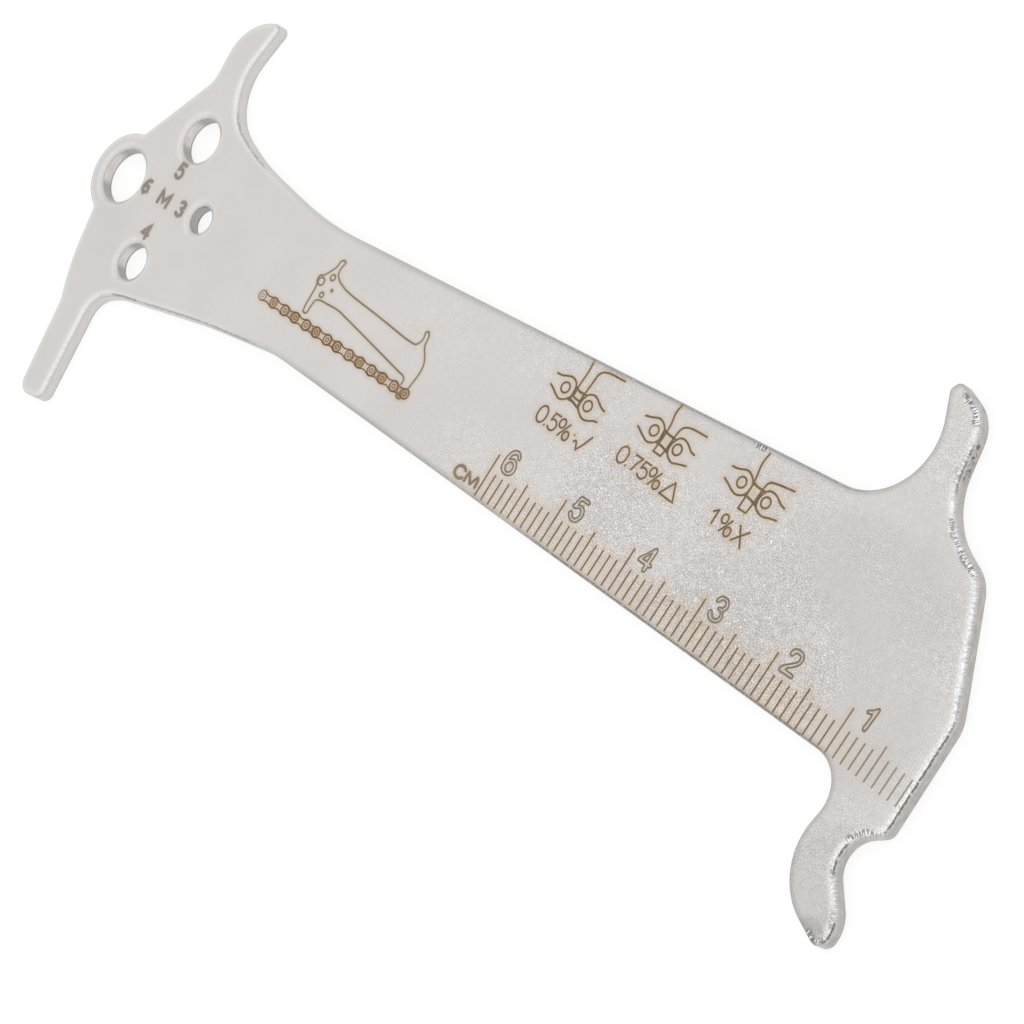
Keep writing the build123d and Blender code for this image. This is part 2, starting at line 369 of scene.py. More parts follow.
def smooth_line(points, closed=False, pieces=5, corner=radians(58)):
    """Smooth line through the points, kept sharp where it turns by more than the corner angle."""
    points = [np.array(p, float) for p in points]
    if closed:
        points = points + points[:1]
    runs, run = [], [points[0]]
    for before, here, after in zip(points, points[1:], points[2:]):
        run.append(here)
        a, b = here - before, after - here
        turn = abs(np.arctan2(a[0] * b[1] - a[1] * b[0], a @ b))
        if turn > corner:
            runs.append(run)
            run = [here]
    run.append(points[-1])
    runs.append(run)
    if closed and len(runs) == 1:
        ring = points[:-1]
        line = centripetal(ring[-2:] + ring + ring[:3], pieces)
        return line[2 * pieces:(2 + len(ring)) * pieces]
    line = [centripetal(r, pieces) for r in runs]
    line = np.vstack([part[:-1] for part in line] + [line[-1][-1:]])
    return line[:-1] if closed else line


def oval(centre, radius, count=28):
    """Closed circle or ellipse."""
    rx, ry = radius if isinstance(radius, tuple) else (radius, radius)
    angles = [2 * pi * k / count for k in range(count)]
    return np.array([(centre[0] + rx * cos(a), centre[1] + ry * sin(a)) for a in angles])


def digit_lines(character, left, foot, width, height):
    """The lines of a plain digit, placed on the plate, and whether they close."""
    closed = character in LOOPED
    for stroke in PLAIN_DIGITS[character]:
        yield smooth_line([(left + x * width, foot + y * height) for x, y in stroke], closed), closed


def direction(vectors):
    return vectors / np.linalg.norm(vectors, axis=-1, keepdims=True)


def place_object(name, data):
    made = bpy.data.objects.new(name, data)
    bpy.context.scene.collection.objects.link(made)
    return made


def make_mesh(name, verts, faces):
    """A mesh from points in millimetres."""
    mesh = bpy.data.meshes.new(name)
    mesh.from_pydata([(x * MM, y * MM, z * MM) for x, y, z in verts], [], faces)
    return mesh


def store(mesh, name, values, domain="POINT"):
    """Keep a value for each point or face corner with the mesh."""
    mesh.attributes.new(name, "FLOAT", domain).data.foreach_set("value", np.array(values, np.float32))


class Mark:
    """One printed group: its lines on the plate, each with a width and whether it closes on itself, and
    the areas between them that the heat tinted evenly. Spread and heat are the reach and the strength
    of the tint beside the lines."""

    def __init__(self, name, width, spread, heat):
        self.name = name
        self.width = width
        self.spread = spread
        self.heat = heat
        self.lines = []
        self.areas = []

    def add(self, line, closed=False, width=None, faint=0.0):
        self.lines.append((np.array(line, float), closed, width or self.width, faint))

    def piece(self, outline, material):
        """Thin closed ribbons that lie on the marked face. Side runs from 0 on a line's middle to 1 at
        its edges."""
        verts, sides, faints, faces = [], [], [], []
        for line, closed, width, faint in self.lines:
            if closed:
                ahead = np.roll(line, -1, axis=0) - line
                behind = line - np.roll(line, 1, axis=0)
            else:
                start = line[0] - direction(line[1] - line[0]) * width * END_REACH
                end = line[-1] + direction(line[-1] - line[-2]) * width * END_REACH
                line = np.vstack([start, line, end])
                ahead = np.vstack([line[1:] - line[:-1], line[-1:] - line[-2:-1]])
                behind = np.vstack([line[1:2] - line[:1], line[1:] - line[:-1]])
            ahead = direction(ahead)
            along = direction(ahead + direction(behind))
            across = np.stack([-along[:, 1], along[:, 0]], axis=1)
            miter = 1 / np.clip(np.sum(along * ahead, axis=1), SHARPEST_MITER, 1)
            half = width / 2 * miter
            if not closed:
                half[0] = half[-1] = width * END_HALF
            first = len(verts)
            for p, n, h in zip(line, across, half):
                left, right = p + n * h, p - n * h
                low = MARK_LIFT * SIDE_LIFT
                for q, lift, side in (
                    (left, low, 1.0), (p, MARK_LIFT, 0.0), (right, low, 1.0), (right, -MARK_SINK, 1.0),
                    (left, -MARK_SINK, 1.0),
                ):
                    verts.append((q[0], q[1], outline.height(q[0], q[1]) + lift))
                    sides.append(side)
                    faints.append(faint)
            count = len(line)
            for k in range(count if closed else count - 1):
                a, b = first + 5 * k, first + 5 * ((k + 1) % count)
                for i in range(5):
                    j = (i + 1) % 5
                    faces.append((a + i, a + j, b + j, b + i))
            if not closed:
                last = first + 5 * (count - 1)
                faces.append(tuple(range(first + 4, first - 1, -1)))
                faces.append(tuple(range(last, last + 5)))
        mesh = make_mesh(self.name, verts, faces)
        store(mesh, "side", sides)
        store(mesh, "faint", faints)
        mesh.validate()
        mesh.materials.append(material)
        made = place_object(self.name, mesh)
        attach(made, "root")


def on_print(u, v):
    """A place given along and above the ruler's zero tick, on the plate."""
    c, s = cos(PRINT_TURN), sin(PRINT_TURN)
    return PRINT_ZERO[0] + u * c - v * s, PRINT_ZERO[1] + u * s + v * c


def ruler_marks():
    ticks = Mark("ruler_ticks", width=0.2, spread=0.5, heat=0.56)
    for n in range(1, RULER_LENGTH + 1):
        bow = TICK_BOW * (n - TICK_BOW_MIDDLE) ** 2
        head = TICK_HEADS[10 if n % 10 == 0 else 5 if n % 5 == 0 else 1]
        along = TICK_SHIFT - n + ZERO_STRETCH * max(0.0, 1 - n / ZERO_REACH) ** 2
        foot = on_print(along, TICK_FOOT - bow)
        top = on_print(along, head - bow)
        foot = (foot[0] + TICK_LEAN * (n / RULER_LENGTH) ** 2 * (top[1] - foot[1]), foot[1])
        ticks.add(np.linspace(foot, top, TICK_POINTS), faint=max(0.0, 1 - n / FAINT_REACH))
    digits = Mark("ruler_digits", width=0.215, spread=0.22, heat=0.14)
    for digit, outlines in DIGIT_OUTLINES.items():
        for outline in outlines:
            digits.add(smooth_line(outline, True), True)
        heat = 0.56 if digit in "654" else 0.64
        digits.areas.append((digits.lines[-len(outlines)][0], heat))
    unit = Mark("ruler_unit", width=0.385, spread=0.42, heat=0.7)
    for stroke in UNIT:
        unit.add(smooth_line(stroke))
    return ticks, digits, unit


def wear_marks():
    marks = []
    for name, lines in ICON_LINES.items():
        mark = Mark("wear_" + name, width=0.23, spread=0.36, heat=0.66)
        for centre in ICON_RINGS[name]:
            ring = oval(centre, ICON_RING)
            mark.add(ring, True)
            mark.areas.append((ring, 0.35 if name == "half" else 0.45))
        for line in lines:
            mark.add(smooth_line(line))
        for digit in WEAR_TEXT[name]:
            for line, closed in digit_lines(*digit):
                mark.add(line, closed)
        for line in WEAR_STROKES[name]:
            mark.add(smooth_line(line))
        for centre, heat in zip(PERCENT_RINGS[name], (0.52, 0.72)):
            ring = oval(centre, PERCENT_RING, 20)
            mark.add(ring, True)
            mark.areas.append((ring, heat))
        mark.add(WAISTS[name], True, width=0.27)
        mark.areas.append((np.array(WAISTS[name]), 0.55))
        marks.append(mark)
    return marks


def gauge_marks():
    gauge = Mark("drawn_gauge", width=0.235, spread=0.34, heat=0.42)
    for stroke in (GAUGE_DRAWING, GAUGE_BELLY, GAUGE_HOOK):
        gauge.add(smooth_line(stroke))
    for x, y, radius in GAUGE_HOLES:
        gauge.add(oval((x, y), radius, 18), True)
    return gauge


def chain_marks():
    chain = Mark("drawn_chain", width=0.16, spread=0.3, heat=0.7)
    low, high = CHAIN_FOOT
    first, last = CHAIN_ROLLERS[0], CHAIN_ROLLERS[-1]
    upper, lower = [], []
    for k, x in enumerate(CHAIN_ROLLERS):
        y = low + (high - low) * (x - first) / (last - first)
        faint = max(0.0, 0.55 - 0.35 * k)
        chain.add(oval((x, y), CHAIN_ROLLER, 22), True, width=0.175, faint=faint)
        chain.add(oval((x, y), CHAIN_ROLLER * CHAIN_PIN, 14), True, width=0.11, faint=faint)
        chain.areas.append((oval((x, y), CHAIN_ROLLER), 0.5 if k == 0 else 0.84 if k % 2 else 0.74))
        upper.append((x, y + CHAIN_ROLLER + CHAIN_PLATE_GAP))
        lower.append((x, y - CHAIN_ROLLER - CHAIN_PLATE_GAP))
        if x != last:
            middle = (x + CHAIN_ROLLERS[k + 1]) / 2
            upper.append((middle, y + CHAIN_WAIST))
            lower.append((middle, y - CHAIN_WAIST))
            short = k % 2 == 0 and k > 0
            for side in CHAIN_LINK_SIDES if short else ():
                across = middle + side
                chain.add([(across, y - CHAIN_WAIST), (across, y + CHAIN_WAIST)], width=0.14)
            link = oval((middle, y), (CHAIN_LINK_REACH, CHAIN_WAIST), 12)
            chain.areas.append((link, 0.74 if short else 0.62))
    chain.add(oval(HOOKED_LINK, (0.34, 0.22), 12), True, width=0.14)
    chain.areas.append((oval(HOOKED_LINK, (0.5, 0.36), 12), 0.84))
    chain.add(smooth_line(upper, corner=pi))
    chain.add(smooth_line(lower, corner=pi))
    return chain


def bolt_marks():
    labels = Mark("bolt_labels", width=0.6, spread=0.7, heat=0.2)
    for digit in BOLT_TEXT:
        for line, closed in digit_lines(*digit):
            labels.add(line, closed)
    return labels


# Plate

def wall_loops(mesh):
    """Closed loops at the foot of the CAD plate's wall, in millimetres, with the metal on their left."""
    normals = mesh.corner_normals
    steps = {}
    for face in mesh.polygons:
        if abs(face.normal.z) > UPRIGHT:
            continue
        corners = []
        for c in face.loop_indices:
            point = mesh.vertices[mesh.loops[c].vertex_index].co / MM
            corners.append((point, normals[c].vector.xy.normalized()))
        for (a, na), (b, nb) in zip(corners, corners[1:] + corners[:1]):
            if abs(a.z - BREAK) < SAME and abs(b.z - BREAK) < SAME:
                steps[round(a.x, 3), round(a.y, 3)] = (a.xy, na, b.xy, nb)
    loops = []
    while steps:
        key = next(iter(steps))
        loop = []
        while key in steps:
            a, na, b, nb = steps.pop(key)
            loop.append((a, na, b, nb))
            key = round(b.x, 3), round(b.y, 3)
        loops.append(loop)
    return sorted(loops, key=len, reverse=True)


def resample(loop):
    """Points and outward normals along a loop, following its arcs, at most RING_STEP apart."""
    points, normals = [], []
    for a, na, b, nb in loop:
        length = (b - a).length
        ta, tb = Vector((-na.y, na.x)) * length, Vector((-nb.y, nb.x)) * length
        count = max(1, ceil(length / RING_STEP))
        for k in range(count):
            t = k / count
            points.append(
                a * (2 * t**3 - 3 * t**2 + 1) + ta * (t**3 - 2 * t**2 + t)
                + b * (3 * t**2 - 2 * t**3) + tb * (t**3 - t**2)
            )
            normals.append(na.lerp(nb, t).normalized())
    return np.array(points), np.array(normals)


def step(edge0, edge1, x):
    t = np.clip((x - edge0) / (edge1 - edge0), 0, 1)
    return t * t * (3 - 2 * t)


def facing_zero(normals):
    """How much of the rim's wider roll, and of its painted highlight, there is where its wall faces this
    way.
    """
    return step(*ZERO_FACING, normals[:, 0])


def roll_width(points, normals, hole):
    """How far in from the wall the rounding of the marked face reaches."""
    if hole:
        return np.full(len(normals), HOLE_BAND)
    width = RIM_ROLL + (WIDE_ROLL - RIM_ROLL) * facing_zero(normals)
    run = np.linalg.norm(np.roll(points, -1, axis=0) - points, axis=1)
    angle = np.arctan2(normals[:, 1], normals[:, 0])
    turn = (np.roll(angle, -1) - angle + pi) % (2 * pi) - pi
    radius = run / np.maximum(turn, LEAST_TURN)
    room = np.minimum(radius, np.roll(radius, 1)) * ROLL_SHARE
    width = np.minimum(width, np.maximum(room, RIM_ROLL))
    width = np.min([np.roll(width, k) for k in NEIGHBOURS], axis=0)
    return np.mean([np.roll(width, k) for k in NEIGHBOURS], axis=0)


def inside(points, loop):
    """Which points lie inside a closed loop."""
    x, y = points[:, 0], points[:, 1]
    result = np.zeros(len(points), bool)
    ax, ay = loop[:, 0], loop[:, 1]
    bx, by = np.roll(ax, -1), np.roll(ay, -1)
    for x0, y0, x1, y1 in zip(ax, ay, bx, by):
        if y0 == y1:
            continue
        crossing = (y0 > y) != (y1 > y)
        result ^= crossing & (x < (x1 - x0) * (y - y0) / (y1 - y0) + x0)
    return result


def grow_tree(points):
    tree = KDTree(len(points))
    for k, (x, y) in enumerate(points):
        tree.insert((x, y, 0), k)
    tree.balance()
    return tree


class Outline:
    """The plate's rim and holes, resampled, with the height of the marked face anywhere on it."""

    def __init__(self, mesh):
        self.rings = [resample(loop) for loop in wall_loops(mesh)]
        self.widths = [roll_width(p, n, k > 0) for k, (p, n) in enumerate(self.rings)]
        self.depths = [HOLE_ROLL if k else RIM_ROLL for k in range(len(self.rings))]
        points = np.concatenate([p for p, n in self.rings])
        self.width_at = np.concatenate(self.widths)
        # How much painted highlight the rim takes at each point, where it faces the zero end
        self.painted_highlight_at = np.concatenate([facing_zero(n) for p, n in self.rings])
        gaps = [np.linalg.norm(np.roll(p, -1, axis=0) - p, axis=1) for p, n in self.rings]
        self.runs = [np.concatenate([[0], np.cumsum(gap)]) for gap in gaps]
        self.run_at = np.concatenate([run[:-1] for run in self.runs])
        self.length_at = np.concatenate([np.full(len(run) - 1, run[-1]) for run in self.runs])
        self.depth_at = np.concatenate([np.full(len(w), d) for w, d in zip(self.widths, self.depths)])
        self.tree = grow_tree(points)

    def rim_distance(self, x, y):
        place, index, distance = self.tree.find((x, y, 0))
        return distance, index

    def on_flat(self, x, y):
        """Whether this place is past the rim's roll, with a little to spare."""
        distance, index = self.rim_distance(x, y)
        return distance > self.width_at[index] + RIM_SPARE

    def height(self, x, y):
        distance, index = self.rim_distance(x, y)
        width = self.width_at[index]
        if distance >= width:
            return SHEET
        t = 1 - distance / width
        return SHEET - self.depth_at[index] * (1 - max(0, 1 - t * t) ** 0.5)


def wall_profile(width, depth):
    """Rows of points up a wall and round its roll: how far in, how high, and their rim value."""
    wall_top = SHEET - depth
    upright = np.zeros(len(width))
    rows = [
        (upright + BREAK, 0.0, -SHEET),
        (upright + BREAK_BEND * BREAK, BREAK_BEND * BREAK, BREAK_RISE - SHEET),
    ]
    rows += [(upright, z, z - wall_top) for z in (*WALL_ROWS, wall_top)]
    for turn in ROLL_TURNS:
        angle = turn * pi / 2
        inset = width * (1 - cos(angle))
        rows.append((inset, wall_top + depth * sin(angle), inset))
    return rows


def face_points(outline, tint):
    """Points on the flat of the marked face: rows along the rims, the tint's and a coarse grid."""
    outer, *holes = [points for points, normals in outline.rings]
    columns, rows = (np.arange(low, high, COARSE_STEP) for low, high in zip(outer.min(0), outer.max(0)))
    shifts = [COARSE_STEP / 2 * (row % 2) for row in range(len(rows))]
    coarse = np.array([(x + shift, y) for shift, y in zip(shifts, rows) for x in columns])
    along_rims = [points - normals * inset for points, normals in outline.rings for inset in INSET_ROWS]
    points = np.concatenate([tint.points, *along_rims, coarse[~tint.covers(coarse)]])
    points = np.unique(np.round(points, 3), axis=0)
    points = points[inside(points, outer)]
    for hole in holes:
        points = points[~inside(points, hole)]
    return [tuple(p) for p in points if outline.on_flat(*p)]


def plate_piece(outline, tint):
    """The dressed plate: the CAD plate's outline with a finer rim, and attributes that its steel reads.
    Rim is the distance in from the wall, negative down the wall; along runs round the rim; on the walls
    of holes one value holds their painted shade, most where they face along y and in small holes;
    another says how much the rim faces the zero end, which is how much painted highlight it takes; tint
    is the heat tint, and the rest are the named places."""
    verts, rims, bores, faces, alongs = [], [], [], [], []
    tops, bottoms = [], []
    for k, (points, normals) in enumerate(outline.rings):
        run = outline.runs[k]
        profile = wall_profile(outline.widths[k], outline.depths[k])
        first = len(verts)
        count = len(points)
        # Painted shade on the walls of holes, most where they face along y and in holes with a short run
        bore_shade = np.zeros(count)
        if k:
            bore_shade = LEAST_BORE + (1 - LEAST_BORE) * step(*BORE_FACING, np.abs(normals[:, 1]))
            if run[-1] < SMALL_BORE_RUN:
                bore_shade = np.maximum(bore_shade, SMALL_BORE)
        for inset, z, rim in profile:
            verts.extend((x, y, z) for x, y in points - normals * inset[:, None])
            rims.extend(np.zeros(count) + rim)
            bores.extend(bore_shade)
        for level in range(len(profile) - 1):
            low, high = first + level * count, first + (level + 1) * count
            for i in range(count):
                j = (i + 1) % count
                faces.append((low + i, low + j, high + j, high + i))
                alongs.extend((run[i], run[i + 1], run[i + 1], run[i]))
        bottoms.append(range(first, first + count))
        tops.append(range(len(verts) - count, len(verts)))

    def fill(loops, z, extra, rim_of):
        """Triangles between the loops, through the extra points. They are found on loops that zigzag a
        little, as three points in one line would leave slivers, and laid through the true points."""
        ids = [i for loop in loops for i in loop]
        flat, edges, rings = [], [], []
        for loop in loops:
            ring = np.array([verts[i][:2] for i in loop])
            ahead = direction(np.roll(ring, -1, axis=0) - np.roll(ring, 1, axis=0))
            ring[::2] += ahead[::2, ::-1] * (ZIGZAG, -ZIGZAG)
            edges += [(len(flat) + i, len(flat) + (i + 1) % len(loop)) for i in range(len(loop))]
            flat += [Vector(p) for p in ring]
            rings.append(ring)
        flat += [Vector(p) for p in extra]
        out, _, tris, source, _, _ = delaunay_2d_cdt(flat, edges, [], 0, 1e-6, True)
        place = {}
        for i, origin in enumerate(source):
            if origin and origin[0] < len(ids):
                place[i] = ids[origin[0]]
            else:
                place[i] = len(verts)
                verts.append((out[i].x, out[i].y, z))
                rims.append(rim_of(out[i].x, out[i].y))
                bores.append(0.0)
        centres = np.array([sum((out[i] for i in t), Vector((0, 0))) / 3 for t in tris])
        keep = np.ones(len(tris), bool)
        for n, ring in enumerate(rings):
            within = inside(centres, ring)
            keep &= ~within if n else within
        return [tuple(place[i] for i in t) for t, k in zip(tris, keep) if k]

    top = fill(
        tops, SHEET, face_points(outline, tint), lambda x, y: min(outline.rim_distance(x, y)[0], DEEPEST)
    )
    bottom = [t[::-1] for t in fill(bottoms, 0.0, [], lambda x, y: -SHEET)]
    flat = np.array(verts)[:, :2]
    near = np.array([outline.rim_distance(x, y)[1] for x, y in flat])
    for t in top:
        start = outline.run_at[near[t[0]]]
        length = outline.length_at[near[t[0]]]
        ahead = (outline.run_at[near[list(t)]] - start + length / 2) % length
        alongs.extend(start + ahead - length / 2)
    alongs.extend([0.0] * (3 * len(bottom)))
    mesh = make_mesh("plate", verts, faces + top + bottom)
    store(mesh, "rim", rims)
    store(mesh, "bore_shade", bores)
    store(mesh, "along", alongs, "CORNER")
    for name, places in PLACES.items():
        amount = np.zeros(len(flat))
        for x, y, reach_x, reach_y, most in places:
            far = ((flat[:, 0] - x) / reach_x) ** 2 + ((flat[:, 1] - y) / reach_y) ** 2
            amount = np.maximum(amount, most * (1 - step(*PLACE_FADE, far)))
        # More painted highlight where the rim faces the zero end
        if name == "painted_highlight":
            amount = np.maximum(amount, outline.painted_highlight_at[near])
        store(mesh, name, amount)
    store(mesh, "tint", tint.at(flat))
    mesh.shade_smooth()
    mesh.polygons.foreach_set("use_smooth", np.arange(len(mesh.polygons)) < len(faces))
    mesh.validate()
    return place_object("plate", mesh)


class Tint:
    """Heat tint of the steel round the marks, as a value at each point of the marked face."""

    def __init__(self, marks):
        self.marks = marks
        grids = []
        for low, high in TINT_ZONES:
            columns, rows = (np.arange(a, b, TINT_STEP) for a, b in zip(low, high))
            grids.append(np.stack(np.meshgrid(columns, rows), axis=-1).reshape(-1, 2))
        self.points = np.concatenate(grids)
        self.trees = []
        for mark in marks:
            samples, fades = [], []
            for line, closed, width, faint in mark.lines:
                for a, b in zip(line, np.roll(line, -1, axis=0) if closed else line[1:]):
                    count = max(1, ceil(np.linalg.norm(b - a) / TINT_SAMPLE))
                    samples.extend(a + (b - a) * k / count for k in range(count))
                samples.append(line[-1])
                fades.extend([1 - faint] * (len(samples) - len(fades)))
            self.trees.append((grow_tree(samples), fades))

    def covers(self, points):
        result = np.zeros(len(points), bool)
        for low, high in TINT_ZONES:
            above = points > np.array(low) - TINT_MARGIN
            result |= np.all(above & (points < np.array(high) + TINT_MARGIN), axis=1)
        return result

    def at(self, points):
        values = np.zeros(len(points))
        for k in np.nonzero(self.covers(points))[0]:
            x, y = points[k]
            for mark, (tree, fades) in zip(self.marks, self.trees):
                spot, nearest, distance = tree.find((x, y, 0))
                if distance < TINT_REACH * mark.spread:
                    heat = mark.heat * fades[nearest]
                    values[k] = max(values[k], heat * exp(-((distance / mark.spread) ** 2)))
        for mark in self.marks:
            for area, value in mark.areas:
                within = inside(points, area)
                values[within] = np.maximum(values[within], value)
        return values


# Materials

# Colours that several parts of the steel share
GLINT = (1.0, 0.99, 0.98)
TORN = (0.16, 0.155, 0.15)


class Nodes:
    """The nodes of a material or a surround, made and joined in one line each."""

    def __init__(self, owner, shader="Principled BSDF"):
        owner.use_nodes = True
        self.tree = owner.node_tree
        self.shader = self.tree.nodes[shader]

    def feed(self, node, links):
        """Give each of a node's sockets another node's output or a plain value."""
        for socket, value in links.items():
            if isinstance(value, bpy.types.NodeSocket):
                self.tree.links.new(value, node.inputs[socket])
            else:
                node.inputs[socket].default_value = value

    def add(self, kind, links=None, **settings):
        node = self.tree.nodes.new("ShaderNode" + kind)
        for key, value in settings.items():
            setattr(node, key, value)
        self.feed(node, links or {})
        return node

    def read(self, name):
        """A value kept with the mesh."""
        return self.add("Attribute", attribute_name=name).outputs["Fac"]

    def math(self, operation, a, b=0.0):
        return self.add("Math", {0: a, 1: b}, operation=operation).outputs[0]

    def times(self, *values):
        return reduce(lambda a, b: self.math("MULTIPLY", a, b), values)

    def plus(self, *values):
        return reduce(lambda a, b: self.math("ADD", a, b), values)

    def minus(self, a, b):
        return self.math("SUBTRACT", a, b)

    def swing(self, noise, reach):
        """A noise about its middle, times a reach."""
        return self.times(self.minus(noise, 0.5), reach)

    def pair(self, x, y):
        return self.add("CombineXYZ", {"X": x, "Y": y}).outputs[0]

    def range(self, value, low, high, to_low=0.0, to_high=1.0, smooth=True):
        ends = {"From Min": low, "From Max": high, "To Min": to_low, "To Max": to_high}
        interpolation = "SMOOTHSTEP" if smooth else "LINEAR"
        node = self.add("MapRange", {"Value": value, **ends}, interpolation_type=interpolation)
        return node.outputs["Result"]

    def fall(self, value, low, high, most=1.0):
        return self.range(value, low, high, most, 0.0)

    def mix(self, factor, a, b):
        a, b = (end if isinstance(end, bpy.types.NodeSocket) else (*end, 1.0) for end in (a, b))
        return self.add("Mix", {0: factor, 6: a, 7: b}, data_type="RGBA").outputs[2]

    def noise(self, vector, scale, detail=2.0, roughness=0.5, dimensions="3D"):
        links = {"Vector": vector, "Scale": scale, "Detail": detail, "Roughness": roughness}
        return self.add("TexNoise", links, noise_dimensions=dimensions).outputs["Fac"]

    def seen(self):
        """1 where the camera looks, straight, by a mirror or through glass."""
        path = self.add("LightPath").outputs
        seen = self.math("MAXIMUM", path["Is Camera Ray"], path["Is Glossy Ray"])
        return self.math("MAXIMUM", seen, path["Is Transmission Ray"])


def blasted_steel():
    """Bead blasted stainless sheet with a drawn-in rim, a sheared wall and heat tint round the marks."""
    material = bpy.data.materials.new("blasted_steel")
    n = Nodes(material)
    place = n.add("TexCoord").outputs["Object"]
    rim, along, painted_highlight, bore_shade, tint, burr, edge, scar, grit, painted_shade = (
        n.read(name)
        for name in ("rim", "along", "painted_highlight", "bore_shade", "tint", "burr", "edge", "scar", "grit", "painted_shade")
    )
    across = n.add("SeparateXYZ", {"Vector": place}).outputs["X"]

    # Blasted grain, livelier in patches towards the zero end, with painted glints in single pits
    grain = n.noise(place, 7400.0, 1.0)
    mottle = n.noise(place, 1500.0)
    cloud = n.noise(place, 130.0)
    patch = n.noise(place, 85.0, 1.0)
    lively = n.times(
        n.range(across, -0.03, 0.024, 0.12, 1.0), n.range(patch, 0.35, 0.65, 0.5, 1.3),
        n.range(grit, 0.0, 1.0, 0.68, 2.0),
    )
    level = n.times(n.plus(n.swing(grain, 3.4), n.swing(mottle, 0.75)), lively)
    level = n.plus(level, n.swing(cloud, 0.3), 0.5)
    colour = n.mix(level, (0.49, 0.465, 0.445), (0.78, 0.755, 0.735))
    cell = n.add("TexVoronoi", {"Vector": place, "Scale": 3200.0}).outputs
    chance = n.add("SeparateColor", {"Color": cell["Color"]}).outputs[0]
    pit_glint = n.times(n.fall(cell["Distance"], 0.16, 0.34), n.range(chance, 0.8, 0.86), lively, 0.6)
    colour = n.mix(pit_glint, colour, GLINT)
    # Painted shade: darker in the named places, and a little darker towards the zero end
    face_shade = n.plus(painted_shade, n.range(across, -0.02, 0.025, 0.0, 0.042))
    colour = n.mix(face_shade, colour, (0.1, 0.095, 0.09))
    speck = n.add("TexVoronoi", {"Vector": place, "Scale": 330.0}).outputs
    chance = n.add("SeparateColor", {"Color": speck["Color"]}).outputs[1]
    spot = n.times(n.fall(speck["Distance"], 0.025, 0.06, 0.6), n.range(chance, 0.86, 0.9))
    colour = n.mix(spot, colour, (0.17, 0.16, 0.15))

    # Heat tint
    hue = n.noise(place, 1000.0, 1.0)
    heated = n.mix(n.range(hue, 0.35, 0.65), (0.70, 0.57, 0.385), (0.67, 0.53, 0.44))
    heated = n.mix(level, n.mix(0.32, heated, (0.0, 0.0, 0.0)), n.mix(0.2, heated, (1.0, 1.0, 1.0)))
    colour = n.mix(n.range(tint, 0.0, 0.6, 0.0, 0.8, False), colour, heated)
    colour = n.mix(n.range(tint, 0.55, 1.0), colour, (0.40, 0.25, 0.12))

    # Drawn-in rim: a painted highlight band, with fine teeth that run in across it, where it faces the
    # zero end, and painted light and shade where it turns over elsewhere
    teeth = n.noise(n.pair(along, n.times(rim, 0.3)), 4.8, 2.0, 0.6, "2D")
    teeth = n.swing(teeth, n.range(across, -0.03, 0.01, 0.25, 1.0))
    band = n.fall(n.plus(rim, n.times(teeth, 1.5)), 0.2, 1.15)
    shown = n.times(painted_highlight, n.range(across, -0.03, 0.01, 0.62, 1.0))
    band = n.times(band, shown, n.range(bore_shade, 0.05, 0.3, 1.0, 0.4))
    sparkle = n.plus(n.times(teeth, 1.6), n.swing(grain, n.range(across, -0.03, 0.01, 0.1, 1.0)))
    white = n.mix(n.range(sparkle, -0.22, 0.22), (0.62, 0.605, 0.59), GLINT)
    # The painted highlight darkens to painted shade next to the wall
    white = n.mix(n.fall(rim, 0.02, 0.4, 0.6), white, (0.36, 0.35, 0.34))
    colour = n.mix(band, colour, white)
    # Painted shade on the rim where it turns over away from the zero end, painted light on it towards
    # the far end, and painted shade on the rims of holes
    roll = n.times(n.fall(rim, 0.25, 0.8), n.minus(1.0, painted_highlight))
    roll_light_and_shade = n.mix(n.range(across, -0.048, -0.015), (0.85, 0.845, 0.84), (0.2, 0.195, 0.19))
    roll_light_and_shade = n.mix(n.range(bore_shade, 0.3, 1.0), roll_light_and_shade, (0.25, 0.24, 0.225))
    roll = n.times(roll, n.range(bore_shade, 0.0, 0.3, 0.28, 0.16))
    colour = n.mix(roll, colour, roll_light_and_shade)

    # Torn teeth of the burrs, with painted glints between them, and the ragged painted shade along the
    # crease where the rim turns over
    hair = n.noise(n.pair(along, n.times(rim, 0.22)), 7.5, 1.5, 0.6, "2D")
    reach = n.plus(rim, n.swing(n.noise(place, 700.0, 1.0), 0.7))
    reach = n.times(n.range(reach, 0.12, 0.3), n.fall(reach, 0.55, 0.9), burr)
    torn = n.times(n.range(hair, 0.46, 0.54), reach)
    # Painted glints between the torn teeth
    colour = n.mix(n.times(reach, n.fall(hair, 0.38, 0.45, 0.8)), colour, GLINT)
    colour = n.mix(n.times(torn, 0.9), colour, TORN)
    rim_place = n.pair(along, rim)
    ragged = n.noise(rim_place, 1.6, 3.0, 0.6, "2D")
    chip = n.noise(rim_place, 5.5, 1.5, 0.6, "2D")
    nearness = n.math("ABSOLUTE", n.plus(n.minus(rim, 0.2), n.swing(ragged, 0.24)))
    # Painted shade along the crease where the rim turns over, in the places named for it
    line = n.times(
        n.fall(nearness, 0.05, 0.14), edge, n.range(ragged, 0.36, 0.44, 0.35, 1.0),
        n.range(chip, 0.34, 0.44, 0.5, 1.0),
    )
    colour = n.mix(line, colour, (0.17, 0.165, 0.155))

